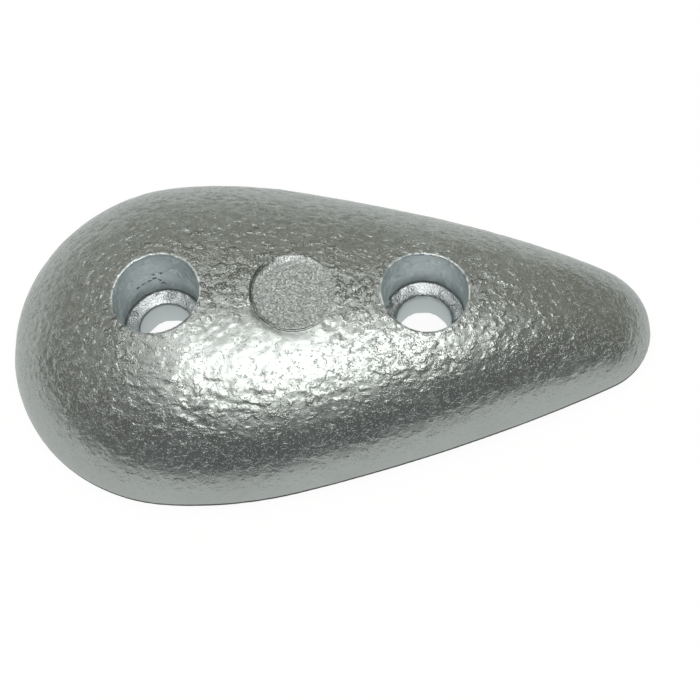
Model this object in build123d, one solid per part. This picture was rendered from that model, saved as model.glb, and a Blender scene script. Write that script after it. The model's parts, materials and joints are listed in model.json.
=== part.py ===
"""Teardrop hull anode: one zinc casting that bolts flat to a hull through two counterbored holes.

Frame: the origin lies on the mounting face, midway between the two bolt holes. +X runs along the
centre line to the narrow tail, +Z points away from the hull. All lengths are in millimetres.
"""

import math
import os

from build123d import *

# Bolt holes, on the centre line
BOLT_SPACING = 80.0
BORE_DIAMETER = 16.5
HEAD_MOUTH_ROUND = 1.0
TAIL_MOUTH_ROUND = 2.2
SEAT_HEIGHT = 12.0
SEAT_DISH = 17.0
COUNTERBORE_DIAMETER = 25.6
COUNTERBORE_DRAFT = 0.4
SEAT_CORNER_ROUND = 0.8
RIM_ROUND = 0.3

# Plan outline of the casting: head arc, side arc, flank arc and tail arc, each tangent to the next
HEAD_REACH = 50.0
TAIL_REACH = 72.0
BODY_WIDTH = 110.8
WIDEST_STATION = -28.0
SIDE_RADIUS = 130.0
FLANK_RADIUS = 580.0
TAIL_RADIUS = 22.4

# Domed skin
BODY_HEIGHT = 37.0
HEAD_RISE = 55.0
TAIL_DROP = 75.0
CROWN_SLOPE = 3.6
HEAD_FULLNESS = 1.8
TAIL_FULLNESS = 2.0
SECTION_FULLNESS = 1.8
CROWN_BLEND = 5.0
DOME_SINK = 1.0
BASE_ROUND = 1.8

# Round flat pad between the holes
PAD_STATION = 0.8
PAD_DIAMETER = 25.2
PAD_DEPTH = 1.0

# Fineness of the grid that the domed skin passes through, and how closely the skin follows it
STATIONS = 40
SECTION_POINTS = 28
SKIN_TOLERANCE = 0.01

# How far a cut runs on past the solid
CUT_OVERRUN = 1.0

HEAD_TIP = -BOLT_SPACING / 2 - HEAD_REACH
TAIL_TIP = BOLT_SPACING / 2 + TAIL_REACH


class Arc:
    """A circle that carries one stretch of the plan outline."""

    def __init__(self, x, y, radius):
        self.x = x
        self.y = y
        self.radius = radius

    def half_width(self, x):
        return self.y + math.sqrt(max(self.radius**2 - (x - self.x) ** 2, 0.0))

    def junction(self, smaller):
        """X of the point where a smaller circle touches this one from inside."""
        across = math.hypot(smaller.x - self.x, smaller.y - self.y)
        return self.x + self.radius * (smaller.x - self.x) / across


def outline_arcs():
    """Head, side, flank and tail arcs of the +Y half, from head to tail."""
    half = BODY_WIDTH / 2
    side = Arc(WIDEST_STATION, half - SIDE_RADIUS, SIDE_RADIUS)
    tail = Arc(TAIL_TIP - TAIL_RADIUS, 0.0, TAIL_RADIUS)

    # The head circle passes through the head tip and touches the side circle from inside.
    back = HEAD_TIP - side.x
    head_radius = (SIDE_RADIUS**2 - back**2 - side.y**2) / (2 * (back + SIDE_RADIUS))
    head = Arc(HEAD_TIP + head_radius, 0.0, head_radius)

    # The flank circle holds both the side circle and the tail circle, touching each from inside.
    run = math.hypot(tail.x - side.x, tail.y - side.y)
    along = Vector(tail.x - side.x, tail.y - side.y) / run
    to_side = FLANK_RADIUS - SIDE_RADIUS
    to_tail = FLANK_RADIUS - TAIL_RADIUS
    forward = (run**2 + to_side**2 - to_tail**2) / (2 * run)
    offset = math.sqrt(to_side**2 - forward**2)
    centre = Vector(side.x, side.y) + along * forward + Vector(along.Y, -along.X) * offset
    flank = Arc(centre.X, centre.Y, FLANK_RADIUS)
    return head, side, flank, tail


def half_width(x):
    """Half the width of the plan outline at one station."""
    head, side, flank, tail = outline_arcs()
    if x < side.junction(head):
        return head.half_width(x)
    if x < flank.junction(side):
        return side.half_width(x)
    if x < flank.junction(tail):
        return flank.half_width(x)
    return tail.half_width(x)


def quarter_round(share, fullness):
    """Falls from 1 at share 0 to 0 at share 1, upright at its foot. Fullness 2 is an ellipse."""
    share = min(max(share, 0.0), 1.0)
    return (1.0 - share**fullness) ** (1.0 / fullness)


def crown_height(x):
    """Height of the centre line over the dome's foot: head rise, gentle slope, tail drop."""
    peak = HEAD_TIP + HEAD_RISE
    tail_start = TAIL_TIP - TAIL_DROP
    slope = BODY_HEIGHT + DOME_SINK - max(x - peak, 0.0) * math.tan(math.radians(CROWN_SLOPE))
    head = quarter_round((peak - x) / HEAD_RISE, HEAD_FULLNESS)
    tail = quarter_round((x - tail_start) / TAIL_DROP, TAIL_FULLNESS)
    return slope * head * tail


def section_point(x, turn):
    """Point of the skin at station x. The turn runs from 0 at the +Y foot to pi at the -Y foot."""
    half = half_width(x)
    y = half * math.cos(turn)
    blend = CROWN_BLEND
    share = (math.hypot(y, blend) - blend) / max(math.hypot(half, blend) - blend, SKIN_TOLERANCE)
    return (x, y, crown_height(x) * quarter_round(share, SECTION_FULLNESS) - DOME_SINK)


def skin_height(x, y):
    """Height of the skin over the mounting face."""
    return section_point(x, math.acos(y / half_width(x)))[2]


def domed_body():
    """Solid between the mounting face and the domed skin."""
    middle = (HEAD_TIP + TAIL_TIP) / 2
    reach = (TAIL_TIP - HEAD_TIP) / 2
    stations = [middle - reach * math.cos(math.pi * i / STATIONS) for i in range(STATIONS + 1)]
    turns = [math.pi * k / SECTION_POINTS for k in range(SECTION_POINTS + 1)]
    grid = [[section_point(x, turn) for x in stations] for turn in turns]
    skin = Face.make_surface_from_array_of_points(grid, tol=SKIN_TOLERANCE, min_deg=3, max_deg=5)
    deep = 2 * BODY_HEIGHT
    room = Box(4 * reach, 2 * BODY_WIDTH, deep, align=(Align.CENTER, Align.CENTER, Align.MIN))
    body = extrude(skin, amount=deep, dir=(0, 0, -1)) & (Pos(middle, 0, 0) * room)
    return fillet(body.edges().group_by(Axis.Z)[0], BASE_ROUND)


def flat_pad(body):
    """The round pad: a flat disc, let into the high side of the slope and proud at its flanks."""
    pad_height = skin_height(PAD_STATION, 0.0) - PAD_DEPTH
    place = Pos(PAD_STATION, 0, 0)
    upright = (Align.CENTER, Align.CENTER, Align.MIN)
    pillar = place * Cylinder(PAD_DIAMETER / 2, pad_height, align=upright)
    above = place * Pos(0, 0, pad_height) * Cylinder(PAD_DIAMETER / 2, BODY_HEIGHT, align=upright)
    return body + pillar - above


def seat_rim_height():
    """Height at which the dished seat meets the counterbore wall."""
    across = (COUNTERBORE_DIAMETER - BORE_DIAMETER) / 2
    return SEAT_HEIGHT + across * math.tan(math.radians(SEAT_DISH))


def counterbore_radius(height):
    """Radius of the counterbore wall at a height over the mounting face. The draft opens it upwards."""
    draft = math.tan(math.radians(COUNTERBORE_DRAFT))
    return COUNTERBORE_DIAMETER / 2 + (height - seat_rim_height()) * draft


def bolt_hole_tool(x, mouth_round):
    """What one bolt hole takes away: bore, rounded mouth, dished seat and drafted counterbore."""
    bore = BORE_DIAMETER / 2
    top = BODY_HEIGHT + CUT_OVERRUN
    mouth = (bore, 0, SEAT_HEIGHT)
    corner = (COUNTERBORE_DIAMETER / 2, 0, seat_rim_height())
    profile = Polyline(
        (0, 0, -CUT_OVERRUN),
        (bore, 0, -CUT_OVERRUN),
        mouth,
        corner,
        (counterbore_radius(top), 0, top),
        (0, 0, top),
        close=True,
    )
    face = make_face(profile)
    face = fillet(face.vertices().sort_by_distance(mouth)[0], mouth_round)
    face = fillet(face.vertices().sort_by_distance(corner)[0], SEAT_CORNER_ROUND)
    return Pos(x, 0, 0) * revolve(face, Axis.Z)


def anode_casting():
    body = flat_pad(domed_body())
    rim_reach = counterbore_radius(BODY_HEIGHT + CUT_OVERRUN)
    for x, mouth_round in ((-BOLT_SPACING / 2, HEAD_MOUTH_ROUND), (BOLT_SPACING / 2, TAIL_MOUTH_ROUND)):
        body -= bolt_hole_tool(x, mouth_round)
        rim = body.edges().filter_by_position(Axis.X, x - rim_reach, x + rim_reach)
        rim = rim.filter_by_position(Axis.Z, seat_rim_height() + 2 * SEAT_CORNER_ROUND, BODY_HEIGHT)
        body = fillet(rim, RIM_ROUND)
    return body


os.makedirs("parts", exist_ok=True)
export_step(anode_casting(), "parts/anode_casting.step")
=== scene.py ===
import json
import math

import bmesh
import bpy
import numpy as np
from mathutils import Matrix, Vector, noise
from mathutils.bvhtree import BVHTree


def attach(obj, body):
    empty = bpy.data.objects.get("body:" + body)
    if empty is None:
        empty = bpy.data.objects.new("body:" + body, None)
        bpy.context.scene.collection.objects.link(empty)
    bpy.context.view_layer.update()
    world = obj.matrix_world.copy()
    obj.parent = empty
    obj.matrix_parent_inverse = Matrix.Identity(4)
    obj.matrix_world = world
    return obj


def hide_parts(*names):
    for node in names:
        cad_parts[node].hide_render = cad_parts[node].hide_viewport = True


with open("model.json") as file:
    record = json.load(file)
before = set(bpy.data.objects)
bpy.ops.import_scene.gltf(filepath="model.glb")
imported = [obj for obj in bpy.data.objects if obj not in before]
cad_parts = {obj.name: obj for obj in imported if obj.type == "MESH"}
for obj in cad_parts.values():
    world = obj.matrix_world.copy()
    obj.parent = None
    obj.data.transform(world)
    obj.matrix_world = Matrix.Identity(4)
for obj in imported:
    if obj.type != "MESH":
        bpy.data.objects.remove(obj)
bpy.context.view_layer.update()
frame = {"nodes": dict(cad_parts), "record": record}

# --- Zinc casting -----------------------------------------------------------------------------
# One zinc casting, poured in a sand mould: the mould's grains leave a finely lumped, bright skin.
# Cores leave smooth counterbores and bores, and the round pad is flat with a finer grain. It lies
# on the hull with a plain flat face.

MM = 0.001
NET = 0.70 * MM
WELD = 0.001 * MM
HALVED = 0.75 * NET
SHARP_BEND = 0.5

SEAT_HEIGHT = 12.0 * MM
LOWEST_SHARP_EDGE = SEAT_HEIGHT - 2 * MM
COUNTERBORE_RADIUS = 12.8 * MM
COUNTERBORE_DRAFT = math.radians(0.4)
PAD_CENTRE = Vector((0.8 * MM, 0.0, 0.0))
PAD_RADIUS = 12.6 * MM

mounts = {mount["name"]: mount for mount in frame["record"]["mounts"]}
HOLE_CENTRES = [Vector(mounts[name]["pos_m"]) for name in ("head_bolt_bore", "tail_bolt_bore")]
BORE_RADIUS = mounts["bolt_holes"]["dims"]["hole_r_mm"] * MM


def even_net(solid):
    """A copy of the solid's mesh, as an even net of small squares."""
    shell = bmesh.new()
    shell.from_mesh(solid.data)
    bmesh.ops.remove_doubles(shell, verts=shell.verts, dist=WELD)
    welded = bpy.data.meshes.new("welded_shell")
    shell.to_mesh(welded)
    shell.free()
    draft = bpy.data.objects.new("net_draft", welded)
    bpy.context.scene.collection.objects.link(draft)
    remesh = draft.modifiers.new("net", "REMESH")
    remesh.mode = "VOXEL"
    remesh.voxel_size = NET
    remesh.adaptivity = 0.0
    depsgraph = bpy.context.evaluated_depsgraph_get()
    net = bpy.data.meshes.new_from_object(draft.evaluated_get(depsgraph))
    bpy.data.objects.remove(draft)
    return net


def sharpen_edges(net, solid):
    """Halves the net along the rims, the mouths and the pad's edge, and lays it on the solid there."""
    corners = [vertex.co for vertex in solid.data.vertices]
    surface = BVHTree.FromPolygons(corners, [polygon.vertices for polygon in solid.data.polygons])
    shell = bmesh.new()
    shell.from_mesh(net)
    bends = [
        edge for edge in shell.edges
        if edge.verts[0].co.z > LOWEST_SHARP_EDGE and edge.calc_face_angle(0.0) > SHARP_BEND
    ]
    strip = {face for edge in bends for vertex in edge.verts for face in vertex.link_faces}
    edges = {edge for face in strip for edge in face.edges}
    bmesh.ops.subdivide_edges(shell, edges=list(edges), cuts=1, use_grid_fill=True)
    halves = [edge for edge in shell.edges if edge.calc_length() < HALVED]
    ends = {end for edge in halves for end in edge.verts if end.co.z > LOWEST_SHARP_EDGE}
    for vertex in ends:
        vertex.co = surface.find_nearest(vertex.co)[0]
    shell.to_mesh(net)
    shell.free()


def points_of(mesh):
    """The mesh's points, as an array with one row for each."""
    flat = np.empty(3 * len(mesh.vertices))
    mesh.vertices.foreach_get("co", flat)
    return flat.reshape(-1, 3)


def ramp(values, start, end):
    """0 before start, 1 after end, and smooth between."""
    share = np.clip((values - start) / (end - start), 0.0, 1.0)
    return share * share * (3.0 - 2.0 * share)


def beyond_rims(points):
    """Distance of each point outside the nearest counterbore wall, in metres."""
    widen = np.maximum(points[:, 2] - SEAT_HEIGHT, 0.0) * math.tan(COUNTERBORE_DRAFT)
    offsets = [np.hypot(points[:, 0] - c.x, points[:, 1] - c.y) for c in HOLE_CENTRES]
    return np.minimum(*[offset - COUNTERBORE_RADIUS - widen for offset in offsets])


def beyond_pad(points):
    """Distance of each point outside the pad's edge, in metres."""
    return np.hypot(points[:, 0] - PAD_CENTRE.x, points[:, 1] - PAD_CENTRE.y) - PAD_RADIUS


def relax(mesh, points, free, rounds):
    """Evens out the net by moving each point towards its neighbours, as far as it is free to."""
    ends = np.empty(2 * len(mesh.edges), int)
    mesh.edges.foreach_get("vertices", ends)
    first, second = ends.reshape(-1, 2).T
    count = len(points)
    degree = np.bincount(first, minlength=count) + np.bincount(second, minlength=count)
    for _ in range(rounds):
        middle = np.empty_like(points)
        for axis in range(3):
            sums = np.bincount(first, points[second, axis], count)
            sums += np.bincount(second, points[first, axis], count)
            middle[:, axis] = sums / degree
        points = points + 0.5 * free[:, None] * (middle - points)
    return points


net = even_net(frame["nodes"]["anode_casting"])
sharpen_edges(net, frame["nodes"]["anode_casting"])
points = points_of(net)

# The net is evened out, except at the rims, the pad's edge and the base, which keep the solid's form.
free = ramp(beyond_rims(points), 0.6 * MM, 2.0 * MM)
free *= ramp(np.abs(beyond_pad(points)), 0.6 * MM, 2.0 * MM)
free *= ramp(points[:, 2], 0.3 * MM, 1.6 * MM)
points = relax(net, points, free, rounds=16)
net.vertices.foreach_set("co", points.ravel())
net.update()

# Cast lumps, which move each point along its normal. They are deeper along the crown, and shallower
# low on the -Y flank and on the middle of the -Y shoulder. The cored walls and the pad have none.
LUMP_LENGTHENING = 0.8
SHOULDER_MM = (-6.0, -20.0)
SHOULDER_REACH_MM = (34.0, 12.0)


def part_way(value, start, end):
    """How far the value has come from start to end, from 0 to 1."""
    return min(max((value - start) / (end - start), 0.0), 1.0)


def lump_height(point):
    """Height of the cast lumps at a point of the skin. All lengths here are in millimetres."""
    drawn = Vector((LUMP_LENGTHENING * point.x, point.y, point.z))
    swell = noise.noise(point / 7.0)
    lump = noise.noise(drawn / 2.6 + Vector((7.1, 3.3, 1.9)))
    cushion = noise.noise(drawn / 1.4 + Vector((4.4, 8.8, 0.7)))
    knob = noise.noise(drawn / 1.35 + Vector((2.7, 9.2, 5.5)))
    crease = math.sqrt(cushion * cushion + 0.006)
    patch = 1.0 + 0.9 * noise.noise(point / 12.0 + Vector((1.3, 6.1, 2.2)))

    along = (point.x - SHOULDER_MM[0]) / SHOULDER_REACH_MM[0]
    across = (point.y - SHOULDER_MM[1]) / SHOULDER_REACH_MM[1]
    calm = max(1.0 - Vector((along, across)).length, 0.0)
    low = part_way(point.z, 26.0, 18.0) * part_way(point.y, -12.0, -24.0)
    crest = part_way(point.z, 26.0, 31.0) * part_way(point.y, -16.0, -8.0)
    depth = 0.36 + 0.89 * part_way(point.z, 6.0, 32.0) ** 1.5
    depth *= (1.0 - 0.6 * low) * (1.0 - 0.72 * calm) * (1.0 + 0.3 * crest)
    return 0.08 * swell + depth * patch * (0.13 * lump + 0.09 * crease + 0.13 * knob)


normals = np.empty(3 * len(net.vertices))
net.vertex_normals.foreach_get("vector", normals)
normals = normals.reshape(-1, 3)
skin = ramp(beyond_rims(points), 0.2 * MM, 0.9 * MM)
on_pad = 1.0 - ramp(beyond_pad(points), -0.1 * MM, 0.5 * MM)
lumpy = skin * (1.0 - on_pad) * ramp(points[:, 2], 0.2 * MM, 2.5 * MM)
moved = lumpy > 0.01
heights = np.zeros(len(points))
heights[moved] = [lump_height(Vector(point) / MM) for point in points[moved]]
heights[moved] -= heights[moved].mean()
points = points + normals * (heights * lumpy * MM)[:, None]

# A crumb of flash on the tail hole's seat
FLASH_PLACE = (28.4 * MM, 5.2 * MM, 13.9 * MM)
FLASH_HEIGHT = 1.1 * MM
flash = 1.0 - ramp(np.linalg.norm(points - np.array(FLASH_PLACE), axis=1), 0.6 * MM, 2.6 * MM)
raised = flash > 0.0
crumbs = np.array([0.6 + noise.noise(Vector(point) / (0.9 * MM)) for point in points[raised]])
points[raised] += normals[raised] * (FLASH_HEIGHT * flash[raised] * crumbs)[:, None]

# The pad's floor curls up on its +Y side, where it is let in, and the skin dips on the other side.
PAD_CURL_SIDE = (-0.26, 0.97)
PAD_CURL = 1.0 * MM
PAD_DIP_SIDE = (-0.6, -0.8)
PAD_DIP = 0.4 * MM
UPPER_SKIN = 25.0 * MM
from_edge = beyond_pad(points)
from_centre = points[:, :2] - np.array(PAD_CENTRE)[:2]
curl = ramp(from_edge, -2.4 * MM, 0.4 * MM) * (from_edge < 0.1 * MM)
curl *= ramp(from_centre @ np.array(PAD_CURL_SIDE), 5.0 * MM, 10.0 * MM)
dip = (1.0 - ramp(from_edge, 0.1 * MM, 2.0 * MM)) * (from_edge > 0.05 * MM)
dip *= ramp(from_centre @ np.array(PAD_DIP_SIDE), 7.0 * MM, 12.0 * MM)
points[:, 2] += np.where(points[:, 2] > UPPER_SKIN, PAD_CURL * curl - PAD_DIP * dip, 0.0)

net.vertices.foreach_set("co", points.ravel())
for name, share in (("skin", skin), ("pad", on_pad * (points[:, 2] > UPPER_SKIN))):
    net.attributes.new(name, "FLOAT", "POINT").data.foreach_set("value", share.astype(np.float32))
net.update()


def flatten_base(mesh):
    """Replaces the net of the flat mounting face by a few large triangles."""
    shell = bmesh.new()
    shell.from_mesh(mesh)
    flat = [
        face for face in shell.faces
        if face.normal.z < -0.99 and face.calc_center_median().z < 0.1 * MM
    ]
    bmesh.ops.delete(shell, geom=flat, context="FACES")
    rims = [edge for edge in shell.edges if edge.is_boundary]
    for edge in rims:
        edge.smooth = False
        for vertex in edge.verts:
            vertex.co.z = 0.0
    bmesh.ops.triangle_fill(shell, edges=rims, use_beauty=True, normal=(0, 0, -1))
    for face in shell.faces:
        face.smooth = True
    shell.to_mesh(mesh)
    shell.free()


flatten_base(net)
casting = bpy.data.objects.new("zinc_casting", net)
bpy.context.scene.collection.objects.link(casting)


class Shade:
    """A socket of a node tree. Arithmetic on it adds Math nodes, and node() adds any other node."""

    def __init__(self, tree, socket=None):
        self.tree = tree
        self.socket = socket

    def node(self, kind, settings=None, inputs=None, output=0):
        made = self.tree.nodes.new(kind)
        for name, value in (settings or {}).items():
            setattr(made, name, value)
        for name, value in (inputs or {}).items():
            if isinstance(value, Shade):
                self.tree.links.new(value.socket, made.inputs[name])
            else:
                made.inputs[name].default_value = value
        return Shade(self.tree, made.outputs[output] if len(made.outputs) else None)

    def math(self, operation, first, second=0.0):
        return self.node("ShaderNodeMath", {"operation": operation}, {0: first, 1: second})

    def __add__(self, other):
        return self.math("ADD", self, other)

    __radd__ = __add__

    def __mul__(self, other):
        return self.math("MULTIPLY", self, other)

    __rmul__ = __mul__

    def __sub__(self, other):
        return self.math("SUBTRACT", self, other)

    def __rsub__(self, other):
        return self.math("SUBTRACT", other, self)

    def vector(self, operation, other):
        return self.node("ShaderNodeVectorMath", {"operation": operation}, {0: self, 1: other})

    def length(self):
        return self.node("ShaderNodeVectorMath", {"operation": "LENGTH"}, {0: self}, "Value")

    def mix(self, low, high):
        """The colour low where this value is 0, and high where it is 1."""
        return self.node("ShaderNodeMix", {"data_type": "RGBA"}, {"Factor": self, 6: low, 7: high}, 2)


def new_material(name):
    material = bpy.data.materials.new(name)
    material.use_nodes = True
    material.node_tree.nodes.clear()
    return material, Shade(material.node_tree)


SKIN_GREY = (0.335, 0.36, 0.343, 1.0)
SKIN_PALE = (0.38, 0.41, 0.392, 1.0)
CORED_GREY = (0.64, 0.71, 0.715, 1.0)
CORED_PALE = (0.92, 0.99, 0.99, 1.0)
BORE_GREY = (0.50, 0.545, 0.545, 1.0)
SEAT_GREY = (0.40, 0.43, 0.43, 1.0)
PAD_GREY = (0.215, 0.231, 0.222, 1.0)
# Pale end of the pad's grain, and the colour of its painted glints
PAD_PALE_AND_GLINT = (0.76, 0.81, 0.785, 1.0)
# Near-black colour for painted shade and painted shadow: the corner at the seat, the blow holes, the
# rims' -Y sides and the foot of the skin
PAINTED_SHADE_DARK = (0.05, 0.055, 0.055, 1.0)
# Dark colour for the painted shade in the groove round the pad
SEAM_SHADE_DARK = (0.05, 0.055, 0.05, 1.0)
GRAZING_TINT = (0.88, 0.9, 0.9, 1.0)

cast_zinc, sheet = new_material("cast_zinc")
place = sheet.node("ShaderNodeTexCoord", output="Object")
along, across, height = [sheet.node("ShaderNodeSeparateXYZ", None, {0: place}, i) for i in range(3)]
is_skin = sheet.node("ShaderNodeAttribute", {"attribute_name": "skin"}, output="Fac")
is_pad = sheet.node("ShaderNodeAttribute", {"attribute_name": "pad"}, output="Fac")


def grain(size_mm, detail=2.0, rough=0.5, spot=place):
    """Noise from 0 to 1, with grains of about that size."""
    return sheet.node("ShaderNodeTexNoise", {"noise_dimensions": "3D"}, {
        "Vector": spot, "Scale": 1.0 / (size_mm * MM), "Detail": detail, "Roughness": rough})


def above(value, start, end):
    """0 where the value is under start, 1 where it is over end, and smooth between."""
    return value.node("ShaderNodeMapRange", {"interpolation_type": "SMOOTHSTEP"}, {
        "Value": value, "From Min": start, "From Max": end})


def distance_from(point, flat=True):
    """Distance of the surface from the upright line through a point, or from the point itself."""
    offset = place.vector("SUBTRACT", point)
    return offset.vector("MULTIPLY", (1.0, 1.0, 0.0 if flat else 1.0)).length()


def line(distance, radius_mm, half_width_mm):
    """1 on a circle of that radius and 0 beyond the line's half width."""
    off = sheet.math("ABSOLUTE", distance - radius_mm * MM)
    return 1.0 - above(off, 0.2 * half_width_mm * MM, half_width_mm * MM)


# The skin's grain is deepest on the crown's head end and +Y side. It is calm on the rest of the
# crown, on the middle of the -Y shoulder and low on the -Y flank.
crown = above(height, 20.0 * MM, 34.0 * MM)
far = above(across, -14.0 * MM, 2.0 * MM)
head = 1.0 - above(along, -56.0 * MM, -40.0 * MM)
from_shoulder = distance_from((SHOULDER_MM[0] * MM, SHOULDER_MM[1] * MM, 0.0))
calm = crown * (1.0 - above(from_shoulder, 8.0 * MM, 32.0 * MM)) * (1.0 - far)
low = (1.0 - above(height, 18.0 * MM, 28.0 * MM)) * (1.0 - above(across, -24.0 * MM, -10.0 * MM))
deep = 1.0 + 0.45 * above(height, 8.0 * MM, 18.0 * MM)
deep = deep + crown * (2.9 * far + (1.0 - far) * (3.8 * head - 0.8))
deep = deep * (1.0 - 0.5 * low) * (1.0 - 0.65 * calm)

# Skin: sand grains in rough patches, with bright specks and glints, pits and short cracks
drawn = place.vector("MULTIPLY", (LUMP_LENGTHENING, 1.0, 1.0))
patchy = 0.45 + 1.9 * above(grain(2.3, 1.5, 0.5, drawn), 0.48, 0.70)
sand = grain(0.85, 1.0, 0.5, drawn) * 0.06 + grain(0.42, 1.0, 0.5, drawn) * 0.045
specks = above(grain(0.55, 0.0, 0.5), 0.66, 0.80)
glints = above(grain(0.6, 0.0, 0.5), 0.76, 0.82)
pits = above(grain(0.9, 1.0, 0.5), 0.62, 0.72)
crack = sheet.math("ABSOLUTE", grain(1.9, 2.5, 0.6) - 0.5)
cracks = (1.0 - above(crack, 0.0, 0.05)) * above(grain(1.6, 1.0, 0.5), 0.54, 0.62)
sparkle = (0.12 + 0.1 * crown * far) * (1.0 - calm) * (1.0 - 0.6 * low)
skin_relief = deep * (patchy * sand + 0.05 * specks - (0.05 - 0.045 * calm) * pits)
skin_relief = skin_relief + sparkle * glints
skin_relief = skin_relief - (0.05 - 0.01 * calm) * (1.0 - 0.4 * low) * cracks

# Pad: a fine grain, with paler spots and painted glints, and a groove round it with painted shade that
# fades on the tail side
speckle = grain(0.62, 1.0, 0.6)
sparks = above(grain(0.5, 1.0, 0.6), 0.55, 0.66)
pad_relief = 0.14 * speckle + 0.08 * sparks + 0.1 * grain(1.6, 1.0)
# A shallow groove round the pad, which the colour also darkens as painted shade, fading on the tail
# side
seam = line(distance_from(PAD_CENTRE), 12.7, 0.45) * (1.0 - above(along, 5.0 * MM, 12.0 * MM))

# Cored walls: smooth, with rough patches and a rougher foot, and a few blow holes in the head hole
BLOW_HOLES_MM = [
    (-48.0, 10.0, 20.3), (-46.3, 11.3, 20.7), (-44.5, 12.0, 20.9), (-42.7, 12.5, 21.6),
    (-42.8, 12.5, 24.0), (-40.4, 12.8, 24.3), (-41.2, 12.7, 20.2), (-40.6, 12.8, 17.9),
]
hole = sheet.math("MINIMUM", distance_from(HOLE_CENTRES[0]), distance_from(HOLE_CENTRES[1]))
bore = 1.0 - above(hole, BORE_RADIUS, 8.6 * MM)
seat_level = 1.0 - above(height, 13.6 * MM, 14.1 * MM)
seat = seat_level * above(hole, 8.3 * MM, 8.7 * MM) * (1.0 - is_skin)
# Painted shade: a dark line in the corner where each counterbore wall meets its seat
painted_corner_shade = line(hole, 12.6, 0.35) * (1.0 - above(height, 13.8 * MM, 14.5 * MM))
foot = (1.0 - above(height, 14.5 * MM, 18.0 * MM)) * above(height, 13.8 * MM, 14.5 * MM)
blow_holes = 0.0
for x, y, z in BLOW_HOLES_MM:
    ragged = distance_from((x * MM, y * MM, z * MM), False) + (grain(0.5, 0.0) - 0.5) * 1.6 * MM
    blow_holes = blow_holes + (1.0 - above(ragged, 0.35 * MM, 0.6 * MM))
rough_patch = above(grain(3.6, 1.5, 0.5), 0.49, 0.64)
rough_cast = 0.3 + 2.2 * rough_patch + 1.2 * foot + 1.2 * seat
core_relief = (1.0 - bore) * rough_cast * grain(0.5, 1.5, 0.6) * 0.1
core_relief = core_relief + grain(2.6, 1.0, 0.5) * 0.05 - 0.15 * blow_holes

# Colours, with painted shade: dark lines on the rims' -Y sides, along the foot of the skin and round
# the pad
bloom = grain(14.0, 3.0)
# Painted shade: a thin dark line just outside each rim, on its -Y side
painted_rim_shade = 4.0 * is_skin * (1.0 - is_skin) * (1.0 - above(across, -7.0 * MM, 0.0))
# Painted shadow: a dark band low on the skin, standing in for the contact shadow under the rounded
# foot
painted_foot_shadow = (1.0 - above(height, 2.2 * MM, 2.9 * MM)) * above(height, 0.4 * MM, 1.0 * MM) * is_skin
skin_colour = ((bloom - 0.35) * 1.6).mix(SKIN_GREY, SKIN_PALE)
cored = (0.3 * grain(2.2, 3.0, 0.6) + 1.3 * rough_patch * (speckle - 0.05)).mix(CORED_GREY, CORED_PALE)
cored = seat.mix(bore.mix(cored, BORE_GREY), SEAT_GREY)
# Painted shade: the wall is darkened in the corner at the seat and inside the blow holes
cored = (0.3 * painted_corner_shade + 0.85 * blow_holes).mix(cored, PAINTED_SHADE_DARK)
# The pad's colour: random paler grain, and painted glints as pale dots where the sparks are
pad_colour = ((speckle - 0.38) * 1.5 + 0.75 * sparks).mix(PAD_GREY, PAD_PALE_AND_GLINT)
colour = (0.6 * painted_rim_shade).mix(is_skin.mix(cored, skin_colour), PAINTED_SHADE_DARK)
colour = (0.97 * painted_foot_shadow).mix(colour, PAINTED_SHADE_DARK)
colour = (0.3 * seam).mix(is_pad.mix(colour, pad_colour), SEAM_SHADE_DARK)

# The painted shadow at the foot is also made less metallic and rougher here, so that it stays dark
metallic = 1.0 - 0.95 * painted_foot_shadow - 0.45 * foot * (1.0 - is_skin) * (1.0 - bore)
roughness = 0.24 + 0.06 * bloom + is_pad * 0.05 + (1.0 - is_skin) * (0.2 - 0.18 * seat)
fine = is_skin * (1.0 - is_pad) * skin_relief + (1.0 - is_skin) * core_relief
fine = fine + is_pad * pad_relief - 0.2 * seam
bumps = sheet.node("ShaderNodeBump", None, {"Height": fine, "Distance": 1.0 * MM, "Strength": 1.0})
zinc = sheet.node("ShaderNodeBsdfPrincipled", None, {
    "Base Color": colour, "Metallic": metallic, "Roughness": roughness + 0.6 * painted_foot_shadow,
    "Normal": bumps, "Specular Tint": GRAZING_TINT})
sheet.node("ShaderNodeOutputMaterial", None, {"Surface": zinc})
net.materials.clear()
net.materials.append(cast_zinc)

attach(casting, "root")
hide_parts("anode_casting")

# --- Table ------------------------------------------------------------------------------------
# A plain white table top, large enough that the metal mirrors it up to the horizon. It looks nearly
# evenly white, and still keeps a soft shadow under the casting.

TABLE_RADIUS = 6.0
TABLE_GAP = 0.05 * MM
TABLE_WHITE = (0.95, 0.95, 0.95, 1.0)
PURE_WHITE = (1.0, 1.0, 1.0, 1.0)
EVEN_SHARE = 0.88
EVEN_STRENGTH = 1.03

table_mesh = bpy.data.meshes.new("table")
shell = bmesh.new()
bmesh.ops.create_circle(shell, cap_ends=True, segments=96, radius=TABLE_RADIUS)
shell.to_mesh(table_mesh)
shell.free()
table = bpy.data.objects.new("table", table_mesh)
table.location.z = -TABLE_GAP
bpy.context.scene.collection.objects.link(table)

white, top = new_material("white_table")
rays = ("Is Camera Ray", "Is Glossy Ray", "Is Transmission Ray")
straight, mirrored, through = [top.node("ShaderNodeLightPath", output=ray) for ray in rays]
seen = top.math("MINIMUM", straight + mirrored + through, 1.0)
lit = top.node("ShaderNodeBsdfDiffuse", None, {"Color": TABLE_WHITE})
even = top.node("ShaderNodeEmission", None, {"Color": PURE_WHITE, "Strength": EVEN_STRENGTH})
blend = top.node("ShaderNodeMixShader", None, {0: seen * EVEN_SHARE, 1: lit, 2: even})
top.node("ShaderNodeOutputMaterial", None, {"Surface": blend})
table_mesh.materials.append(white)

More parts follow.
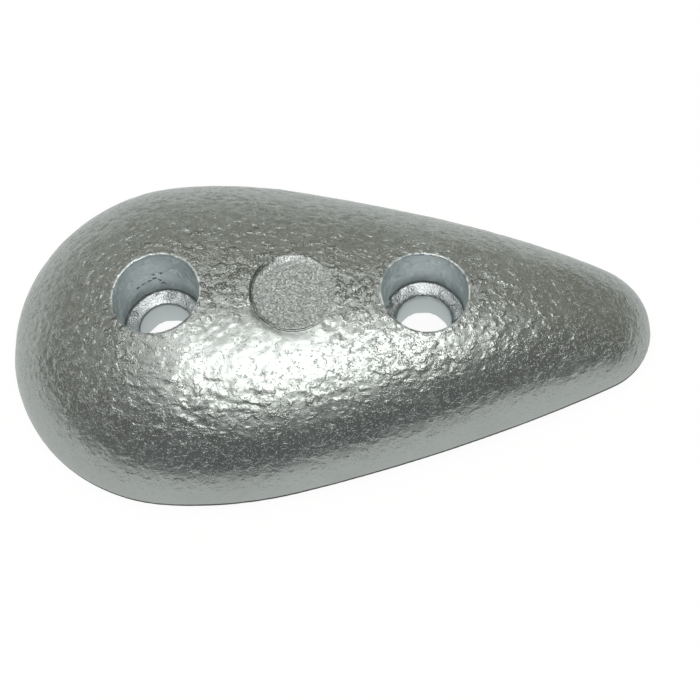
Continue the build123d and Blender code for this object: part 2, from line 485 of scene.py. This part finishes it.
# --- Studio -----------------------------------------------------------------------------------
# A dim room, warmer towards its +Y wall, with one large soft-edged light in its ceiling. The light
# is strongest in a small oval over the -Y side. Seen straight, the room is plain white.

NEAR_WALL = (0.178, 0.18, 0.188, 1.0)
FAR_WALL = (0.47, 0.455, 0.389, 1.0)
CEILING_LIGHT = (1.58, 1.55, 1.56, 1.0)
OVAL_STRENGTH = 6.8

room = bpy.data.worlds.new("room")
bpy.context.scene.world = room
room.use_nodes = True
room.node_tree.nodes.clear()
air = Shade(room.node_tree)
direction = air.node("ShaderNodeTexCoord", output="Generated")


def glow_share(centre, inverse_radii):
    """1 at the centre of an oval patch of the ceiling, falling smoothly to 0 at its edge."""
    offset = direction.vector("SUBTRACT", centre).vector("MULTIPLY", inverse_radii)
    return above(offset.length(), 1.0, 0.0)


farness = air.node("ShaderNodeSeparateXYZ", None, {0: direction}, 1)
walls = (farness * 0.5 + 0.5).mix(NEAR_WALL, FAR_WALL)
tone = glow_share((-0.16, 0.13, 1.0), (1.08, 0.96, 1.0)).mix(walls, CEILING_LIGHT)
strength = 1.0 + OVAL_STRENGTH * glow_share((0.16, -0.40, 0.97), (3.4, 1.72, 1.0))
glow = air.node("ShaderNodeBackground", None, {"Color": tone, "Strength": strength})
backdrop = air.node("ShaderNodeBackground", None, {"Color": PURE_WHITE, "Strength": 1.0})
straight = air.node("ShaderNodeLightPath", output="Is Camera Ray")
around = air.node("ShaderNodeMixShader", None, {0: straight, 1: glow, 2: backdrop})
air.node("ShaderNodeOutputWorld", None, {"Surface": around})

# --- Camera -----------------------------------------------------------------------------------
# Looks down on the casting's -Y side at 65 degrees, from slightly towards its tail, so that the
# wide end is on the left. It has a long lens and is rolled by a few degrees.

VIEW_ELEVATION = math.radians(64.94)
VIEW_YAW = math.radians(2.5)
VIEW_ROLL = math.radians(-4.05)
VIEW_DISTANCE = 456.15 * MM
VIEW_TARGET = Vector((16.65, -5.17, 2.79)) * MM

lens = bpy.data.cameras.new("camera")
lens.sensor_fit = "HORIZONTAL"
lens.sensor_width = 36.0
lens.lens = 74.57
camera = bpy.data.objects.new("camera", lens)
bpy.context.scene.collection.objects.link(camera)
outward = math.cos(VIEW_ELEVATION)
back = Vector((math.sin(VIEW_YAW) * outward, -math.cos(VIEW_YAW) * outward, math.sin(VIEW_ELEVATION)))
level = (-back).cross(Vector((0, 0, 1))).normalized()
rise = level.cross(-back)
rightward = math.cos(VIEW_ROLL) * level + math.sin(VIEW_ROLL) * rise
upward = math.cos(VIEW_ROLL) * rise - math.sin(VIEW_ROLL) * level
turn = Matrix((rightward, upward, back)).transposed().to_4x4()
camera.matrix_world = Matrix.Translation(VIEW_TARGET + VIEW_DISTANCE * back) @ turn
bpy.context.scene.camera = camera
bpy.context.scene.view_settings.view_transform = "Standard"
